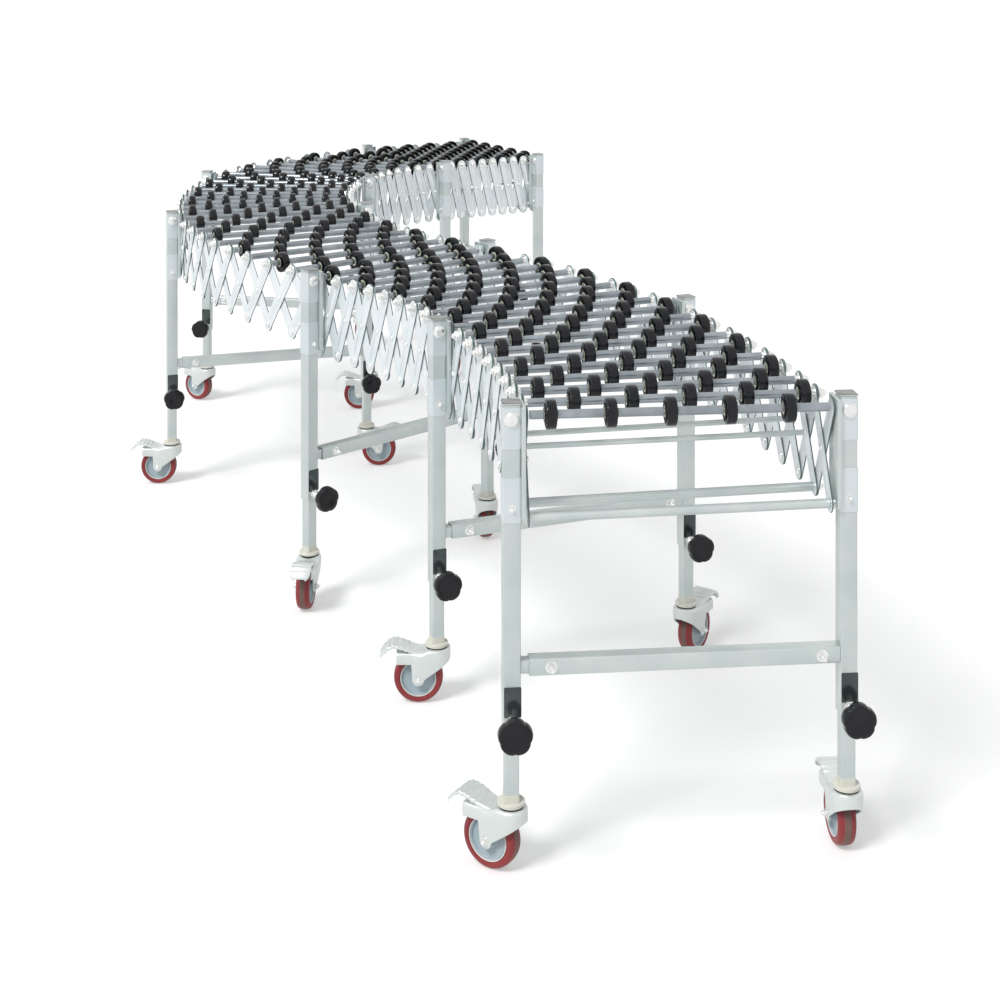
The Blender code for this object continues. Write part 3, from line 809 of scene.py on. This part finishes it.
def makeStands():
    for number in range(1, deck["stands"] + 1):
        place = standFrame(number)
        pieces = [crossbar(number, place), crossbarBolts(number, place), *standAxle(number, place)]
        for label in sides:
            for make in (outerLeg, legCap, linkChannel, legBolts, heightKnob, knobReflectionSheet):
                pieces.append(make(number, label, place))
        for piece in pieces:
            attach(piece, f"stand_{number}")
            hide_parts(f"stand_{number}_frame")
    frontSkateWheels(standFrame(1))
    print("stands made:", deck["stands"])


# Inner legs and casters

leg = {
    "width": 0.025,
    "wall": 0.0015,
    "cornerRadius": 0.003,
    "bottom": 0.1213,
    "top": 0.486,
    "collarRadius": 0.0235,
    "collarBottom": 0.1103,
    "footWidth": 0.0262,
    "footTop": 0.1320,
}


def innerLeg(number, label, place):
    bm = bmesh.new()
    corner = leg["cornerRadius"]
    squareTube(bm, leg["width"], leg["wall"], corner, leg["bottom"], leg["top"], place)
    radius, low = leg["collarRadius"], leg["collarBottom"]
    gap = radius - 0.004  # the raceway's gap, a band of painted shade
    turned(bm, [(gap, low), (gap, low + 0.0025)], place, 32, 2)
    profile = [
        (radius - 0.0015, low + 0.0022), (radius, low + 0.0034), (radius, low + 0.0080),
        (radius - 0.0012, low + 0.0092), (0.008, low + 0.0094),
    ]
    turned(bm, profile, place, 32, 1)
    width = leg["footWidth"]
    plate(bm, width, width, corner, low + 0.0093, leg["footTop"], 0.0004, place, 1)
    return makePiece(f"stand{number}{label}InnerLeg", bm, ["zinc", "flange", "raceGapShade"], place)


caster = {
    "radius": 0.050,
    "width": 0.032,
    "steps": 64,
    "trail": 0.037,
    "rimRadius": 0.0370,
    "crownTop": 0.110,
    "crownHalf": 0.028,  # also the radius of the round nose
    "axleHalf": 0.0235,
    "sheet": 0.003,
    "sheetBend": 0.007,
    "sheetEdge": 0.0006,
    "noseDepth": 0.022,
    "bossRadius": 0.0125,
    "bossRise": 0.003,  # of the cheek's edge between the boss and the tail
    "leastCheek": 0.002,
    "leanTop": 0.012,  # how far under the crown the cheeks start to lean in
    "crownDip": (0.012, 0.032),  # where the crown goes down to the tail
    "tailNarrowing": 0.004,
    "narrowFrom": 0.030,
    "tailStart": 0.0505,
    "tailEnd": 0.081,
    "tailBottom": 0.081,
    "tailTop": 0.104,
    "pedalStart": 0.026,
    "pedalHump": (0.0865, 0.1195),
    "pedalTip": (0.1155, 0.0970),
    "pedalHalf": 0.0235,
    "pedalRibs": 9,
    "pedalRibHeight": 0.0008,
    "pedalRibSpan": (0.3, 0.95),  # shares of the pedal's length, as in the next three
    "pedalNeck": 0.86,
    "pedalFullFrom": 0.5,
    "pedalRoundFrom": 0.9,
    "pedalTipCut": 0.4,
    "pedalRise": 0.0012,
    "pedalFlat": 0.004,
    "pedalDroop": 1.7,
    "pedalSkirt": 0.006,
    "pedalSheet": (0.002, 0.0025),
    "pedalEdge": 0.001,
    "pedalSteps": 64,
    "axleRadius": 0.004,
    "axleNut": 0.0055,
    "racewayRadius": 0.0215,
}


def eased(value, start, end):
    share = max(0.0, min(1.0, (value - start) / (end - start)))
    return share * share * (3 - 2 * share)


# The lower edge of the fork's cheeks
def cheekEdge(x):
    trail, radius, nose = caster["trail"], caster["bossRadius"], caster["crownHalf"]
    if x < trail - radius:
        bottom = caster["crownTop"] - caster["noseDepth"]
        return bottom + (x + nose) / (trail - radius + nose) * (caster["radius"] - bottom)
    if x < trail + radius:
        return caster["radius"] - sqrt(max(0, radius ** 2 - (x - trail) ** 2))
    return caster["tailBottom"] if x > caster["tailStart"] else caster["radius"] + caster["bossRise"]


# The fork is one bent sheet, made of cross-sections from its nose to its tail
def forkSheet(bm):
    crown, nose, trail = caster["crownTop"], caster["crownHalf"], caster["trail"]
    boss, start, end = caster["bossRadius"], caster["tailStart"], caster["tailEnd"]
    places = [-nose * cos(pi / 2 * n / 12) for n in range(1, 13)]
    places += [(trail - boss) * n / 4 for n in range(1, 4)]
    places += [trail - boss * cos(pi * n / 10) for n in range(11)]
    places += [start + 0.0002]
    places += [start + (end - start) * n / 6 for n in range(1, 7)]
    bend, grid = caster["sheetBend"], []
    for x in places:
        half = nose - caster["tailNarrowing"] * eased(x, caster["narrowFrom"], start)
        if x < 0:
            half = sqrt(nose ** 2 - x ** 2)
        top = crown - (crown - caster["tailTop"]) * eased(x, *caster["crownDip"])
        low = min(cheekEdge(x), top - bend - caster["leastCheek"])
        column = []
        for k in range(6):
            z = low + (top - bend - low) * k / 5
            upright = eased(z, caster["radius"], crown - caster["leanTop"])
            lean = (nose - caster["axleHalf"]) * (1 - upright)
            column.append((x, -half * (1 - lean / nose), z))
        for k in range(1, 5):
            angle = pi / 2 * k / 4
            side = -half * (1 - bend / nose * (1 - cos(angle)))
            column.append((x, side, top - bend + bend * sin(angle)))
        column.append((x, 0, top))
        column += [(x, -y, z) for _, y, z in reversed(column[:-1])]
        grid.append(column)
    verts = [[bm.verts.new(Vector(point)) for point in column] for column in grid]
    faces = [
        bm.faces.new((first[n], first[n + 1], second[n + 1], second[n]))
        for first, second in zip(verts, verts[1:]) for n in range(len(first) - 1)
    ]
    faces.append(bm.faces.new(list(reversed(verts[0]))))
    bmesh.ops.recalc_face_normals(bm, faces=faces)


def pedalTop(x):
    (hump, high), (tip, low) = caster["pedalHump"], caster["pedalTip"]
    if x < hump:
        start = caster["tailTop"] + caster["pedalRise"]
        return start + (high - start) * eased(x, caster["pedalStart"] + caster["pedalFlat"], hump)
    return high - (high - low) * ((x - hump) / (tip - hump)) ** caster["pedalDroop"]


def pedalHalf(share):
    neck, tip = caster["pedalNeck"], caster["pedalRoundFrom"]
    half = caster["pedalHalf"] * (neck + (1 - neck) * eased(share, 0, caster["pedalFullFrom"]))
    if share < tip:
        return half
    return half * (1 - caster["pedalTipCut"] * ((share - tip) / (1 - tip)) ** 2)


def pedalSheet(bm, place):
    start, end, steps = caster["pedalStart"], caster["pedalTip"][0], caster["pedalSteps"]
    first, last = caster["pedalRibSpan"]
    (wall, thick), edge = caster["pedalSheet"], caster["pedalEdge"]
    rings = []
    for n in range(steps + 1):
        share = n / steps
        x = start + (end - start) * share
        z, half = pedalTop(x), pedalHalf(share)
        if first < share < last:
            z += caster["pedalRibHeight"] * sin(2 * pi * caster["pedalRibs"] * share)
        skirt, under = z - caster["pedalSkirt"], z - thick
        rings.append([
            (x, -half, skirt), (x, -half, z - edge), (x, -half + edge, z), (x, half - edge, z),
            (x, half, z - edge), (x, half, skirt), (x, half - wall, skirt), (x, half - wall, under),
            (x, -half + wall, under), (x, -half + wall, skirt),
        ])
    loft(bm, rings, place)


def casterFork(number, label, place):
    shell = bmesh.new()
    forkSheet(shell)
    mesh = bpy.data.meshes.new("fork")
    shell.to_mesh(mesh)
    shell.free()
    holder = bpy.data.objects.new("fork", mesh)
    bpy.context.scene.collection.objects.link(holder)
    solid = holder.modifiers.new("sheet", "SOLIDIFY")
    solid.thickness = caster["sheet"]
    solid.offset = -1
    rounded = holder.modifiers.new("edges", "BEVEL")
    rounded.width = caster["sheetEdge"]
    rounded.segments = 2
    rounded.limit_method = "ANGLE"
    rounded.angle_limit = radians(50)
    bpy.context.view_layer.update()
    thick = bpy.data.meshes.new_from_object(holder.evaluated_get(bpy.context.evaluated_depsgraph_get()))
    bpy.data.objects.remove(holder, do_unlink=True)
    thick.transform(place)
    bm = bmesh.new()
    bm.from_mesh(thick)
    for face in bm.faces:
        face.smooth = True
    pedalSheet(bm, place)
    trail, height, outer = caster["trail"], caster["radius"], caster["axleHalf"]
    for way in (-1, 1):
        lie = place @ facing((trail, way * outer, height), (0, way, 0))
        boltEnd(bm, caster["axleNut"], lie, 1)
    profile = [(caster["axleRadius"], -outer), (caster["axleRadius"], outer)]
    turned(bm, profile, place @ facing((trail, 0, height), (0, 1, 0)), 12, 1)
    # the raceway disc on the crown, with painted shade for the gap under the leg
    top, race = caster["crownTop"], caster["racewayRadius"]
    turned(bm, [(race, top - 0.0015), (race, top + 0.0002), (0.010, top + 0.0003)], place, 32, 2)
    return makePiece(f"stand{number}{label}CasterFork", bm, ["fork", "bolt", "raceGapShade"], place)


def casterWheel(number, label, place):
    bm = bmesh.new()
    radius, half, rim = caster["radius"], caster["width"] / 2, caster["rimRadius"]
    lie, steps = place @ facing((0, 0, 0), (0, 1, 0)), caster["steps"]
    side = [
        (rim, half * 0.80), (rim + 0.001, half * 0.97), (radius - 0.0075, half),
        (radius - 0.0035, half * 0.90), (radius - 0.0012, half * 0.70),
        (radius - 0.0002, half * 0.38), (radius, half * 0.15),
    ]
    tyre = turned(bm, mirrored(side), lie, steps, 0, ring=True)
    for face in tyre[5 * steps:8 * steps]:  # the middle, worn by the floor
        face.material_index = 3
    side = [
        (rim - 0.0030, half * 0.70), (rim - 0.0024, half * 0.92), (rim - 0.0004, half * 0.94),
        (rim - 0.0001, half * 0.80),
    ]
    turned(bm, mirrored(side), lie, steps, 1, ring=True)
    side = [
        (0.0046, half * 0.96), (0.0110, half * 0.96), (0.0125, half * 0.62), (0.0150, half * 0.55),
        (rim - 0.0060, half * 0.60), (rim - 0.0044, half * 0.82), (rim - 0.0031, half * 0.84),
    ]
    turned(bm, mirrored(side), lie, steps, 2, ring=True)
    return makePiece(f"stand{number}{label}CasterWheel", bm, ["tread", "rim", "disc", "worn"], place)


def makeCasters():
    for number in range(1, deck["stands"] + 1):
        turn = standFrame(number).to_3x3().to_4x4()
        for label in sides:
            base = f"stand_{number}_{label.lower()}"
            swivel = Vector(joints[f"{base}_caster_swivel"]["pos_m"])
            centre = Vector(joints[f"{base}_wheel_roll"]["pos_m"])
            floor = Vector((swivel.x, swivel.y, 0))
            trail = Vector((centre.x - swivel.x, centre.y - swivel.y, 0)).normalized()
            side = Vector((-trail.y, trail.x, 0))
            axes = Matrix((trail, side, (0, 0, 1))).transposed().to_4x4()
            pieces = {
                "inner_leg": ("leg", innerLeg(number, label, Matrix.Translation(floor) @ turn)),
                "caster_fork": ("swivel", casterFork(number, label, Matrix.Translation(floor) @ axes)),
                "caster_wheel": ("wheel", casterWheel(number, label, Matrix.Translation(centre) @ axes)),
            }
            for node, (body, piece) in pieces.items():
                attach(piece, f"{base}_{body}")
                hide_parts(f"{base}_{node}")
    print("casters made:", 2 * deck["stands"])


# Floor, light and camera

studio = {
    "floor": (0.74, 0.74, 0.74),
    "floorGlow": 0.36,  # seen by the camera and in reflections, and no light on the part
    "floorSize": 240.0,
    "floorHeight": -0.0005,
    "floorRoughness": 0.9,
    "sky": (0.97, 0.985, 1),
    "world": 0.45,
    "sun": 2.0,
    "sunWidth": 18,
    "sunFrom": (-0.55, -0.65, 1.0),
}


# One for what is seen, straight, in a reflection or through glass, and zero for diffuse light
def seenFactor(nodes, links):
    path = nodes.new("ShaderNodeLightPath")
    total = path.outputs["Is Camera Ray"]
    for kind in ("Is Glossy Ray", "Is Transmission Ray"):
        both = nodes.new("ShaderNodeMath")
        both.operation = "MAXIMUM"
        links.new(total, both.inputs[0])
        links.new(path.outputs[kind], both.inputs[1])
        total = both.outputs[0]
    return total


def makeFloor():
    bm = bmesh.new()
    half, height = studio["floorSize"] / 2, studio["floorHeight"]
    corners = ((-half, -half), (half, -half), (half, half), (-half, half))
    bm.faces.new([bm.verts.new((x, y, height)) for x, y in corners])
    mesh = bpy.data.meshes.new("floor")
    bm.to_mesh(mesh)
    bm.free()
    floor = bpy.data.objects.new("floor", mesh)
    bpy.context.scene.collection.objects.link(floor)
    material = bpy.data.materials.new("floorPaint")
    material.use_nodes = True
    nodes, links = material.node_tree.nodes, material.node_tree.links
    shader = nodes["Principled BSDF"]
    shader.inputs["Base Color"].default_value = (*studio["floor"], 1)
    shader.inputs["Roughness"].default_value = studio["floorRoughness"]
    glow = nodes.new("ShaderNodeEmission")
    scaled = nodes.new("ShaderNodeMath")
    scaled.operation = "MULTIPLY"
    scaled.inputs[1].default_value = studio["floorGlow"]
    both = nodes.new("ShaderNodeAddShader")
    links.new(seenFactor(nodes, links), scaled.inputs[0])
    links.new(scaled.outputs[0], glow.inputs["Strength"])
    links.new(shader.outputs[0], both.inputs[0])
    links.new(glow.outputs[0], both.inputs[1])
    links.new(both.outputs[0], nodes["Material Output"].inputs["Surface"])
    mesh.materials.append(material)


def makeWorld():
    world = bpy.data.worlds.new("studio")
    world.use_nodes = True
    nodes, links = world.node_tree.nodes, world.node_tree.links
    sky = nodes["Background"]
    sky.inputs["Color"].default_value = (*studio["sky"], 1)
    sky.inputs["Strength"].default_value = studio["world"]
    white = nodes.new("ShaderNodeBackground")
    white.inputs["Color"].default_value = (1, 1, 1, 1)
    white.inputs["Strength"].default_value = 1
    blend = nodes.new("ShaderNodeMixShader")
    links.new(seenFactor(nodes, links), blend.inputs[0])
    links.new(sky.outputs[0], blend.inputs[1])
    links.new(white.outputs[0], blend.inputs[2])
    links.new(blend.outputs[0], nodes["World Output"].inputs["Surface"])
    bpy.context.scene.world = world


def makeSun():
    light = bpy.data.lights.new("sun", "SUN")
    light.energy = studio["sun"]
    light.angle = radians(studio["sunWidth"])
    lamp = bpy.data.objects.new("sun", light)
    lamp.rotation_euler = Vector(studio["sunFrom"]).to_track_quat("Z", "Y").to_euler()
    bpy.context.scene.collection.objects.link(lamp)


camera = {
    "back": 2.726,  # from the front stand's middle to the camera
    "left": 0.3115,
    "height": 1.524,
    "yaw": -0.2,
    "focalPixels": 1629,
    "imagePixels": 1000,
    "shift": -0.548,  # the view is level, and the picture lies under its middle
}


def makeCamera():
    lens = bpy.data.cameras.new("camera")
    lens.sensor_width = 36
    lens.lens = camera["focalPixels"] / camera["imagePixels"] * lens.sensor_width
    lens.shift_y = camera["shift"]
    eye = bpy.data.objects.new("camera", lens)
    front = standFrame(1).translation
    eye.location = (front.x - camera["left"], front.y - camera["back"], camera["height"])
    eye.rotation_euler = (radians(90), 0, radians(camera["yaw"]))
    bpy.context.scene.collection.objects.link(eye)
    bpy.context.scene.camera = eye


makeSections()
makeStands()
makeCasters()
makeFloor()
makeWorld()
makeSun()
makeCamera()
bpy.context.scene.view_settings.view_transform = "Standard"
print("stage made")
